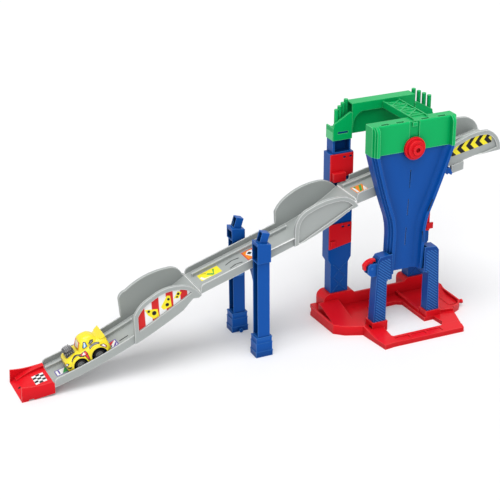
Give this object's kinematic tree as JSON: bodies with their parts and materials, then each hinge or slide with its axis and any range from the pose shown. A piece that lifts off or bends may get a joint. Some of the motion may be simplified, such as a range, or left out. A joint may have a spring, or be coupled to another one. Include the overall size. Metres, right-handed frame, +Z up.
{
  "type": "toy race track",
  "caption": "Downhill toy race track with a tall launch tower, guarded lane sections on posts, an exit ramp and a small car that rolls down the lane.",
  "frame": {"origin": "centre of the whole object's footprint box, on the floor", "axes": "+X along the track, uphill towards the tower; +Y across the track, away from the tower's tall front panel; +Z up"},
  "size_m": [0.9632, 0.217, 0.4263],
  "materials": {
    "track_grey": "fine satin moulding",
    "tower_blue": "semi-gloss moulding",
    "header_green": "semi-gloss moulding",
    "bright_red": "semi-gloss moulding",
    "car_yellow": "gloss moulding",
    "chassis_blue": "satin moulding",
    "engine_black": "satin moulding",
    "tyre_black": "matt soft tyre",
    "hub_grey": "satin moulding",
    "steel": "plain drawn wire and screw",
    "windscreen_orange": "gloss moulding"
  },
  "bodies": {
    "root": {"lower_deck": "track_grey", "lower_rail": "track_grey", "lower_near_wall": "track_grey", "lower_far_wall": "track_grey", "middle_deck": "track_grey", "middle_rail": "track_grey", "middle_near_wall": "track_grey", "middle_far_wall": "track_grey", "upper_deck": "track_grey", "upper_rail": "track_grey", "upper_near_wall": "track_grey", "upper_far_wall": "track_grey", "exit_ramp": "bright_red", "near_post": "tower_blue", "far_post": "tower_blue", "near_foot": "tower_blue", "far_foot": "tower_blue", "cross_beam": "tower_blue", "left_column": "tower_blue", "right_column": "tower_blue", "left_cap": "header_green", "right_cap": "header_green", "left_upper_bracket": "bright_red", "right_upper_bracket": "bright_red", "left_lower_bracket": "bright_red", "right_lower_bracket": "bright_red", "rear_beam": "header_green", "bridge": "header_green", "header": "header_green", "facade": "tower_blue", "left_leg": "tower_blue", "right_leg": "tower_blue", "track_clip": "tower_blue", "upper_hook": "track_grey", "lever_cheeks": "tower_blue", "lever_pin": "tower_blue", "base": "bright_red"},
    "knob": {"knob": "bright_red", "knob_screw": "steel"},
    "lever": {"release_lever": "bright_red"},
    "car": {"car_body": "car_yellow", "car_chassis": "chassis_blue", "engine": "engine_black"},
    "front_wheels": {"front_axle": "steel", "front_hubs": "hub_grey", "front_tyres": "tyre_black"},
    "rear_wheels": {"rear_axle": "steel", "rear_hubs": "hub_grey", "rear_tyres": "tyre_black"},
    "windscreen": {"windscreen_button": "windscreen_orange"}
  },
  "joints": [
    {"name": "car_run", "type": "hinge", "parent": "root", "child": "car", "pos_m": [-0.65571, 0.0325, 0.92813], "axis": [0, -1, 0], "range_deg": [-2, 11]},
    {"name": "front_wheel_spin", "type": "hinge", "parent": "car", "child": "front_wheels", "pos_m": [-0.3691, 0.0219, 0.04656], "axis": [0, -1, 0], "range_deg": [-1040, 220]},
    {"name": "rear_wheel_spin", "type": "hinge", "parent": "car", "child": "rear_wheels", "pos_m": [-0.33415, 0.0219, 0.0587], "axis": [0, -1, 0], "range_deg": [-1040, 220]},
    {"name": "windscreen_press", "type": "slide", "parent": "car", "child": "windscreen", "axis": [0.9788, 0, -0.2047], "range_m": [0, 0.0015], "stiffness_N_per_m": 300, "springref_m": -0.001},
    {"name": "knob_turn", "type": "hinge", "parent": "root", "child": "knob", "pos_m": [0.2716, -0.0375, 0.363], "axis": [0, -1, 0], "range_deg": [0, 90]},
    {"name": "lever_swing", "type": "hinge", "parent": "root", "child": "lever", "pos_m": [0.195, -0.0255, 0.1325], "axis": [0, -1, 0], "range_deg": [0, 20], "stiffness_Nm_per_rad": 0.02, "springref_deg": -2.86}
  ],
  "couplings": [
    {"joint": "front_wheel_spin", "follows": "car_run", "ratio": -93.7},
    {"joint": "rear_wheel_spin", "follows": "car_run", "ratio": -93.7}
  ]
}
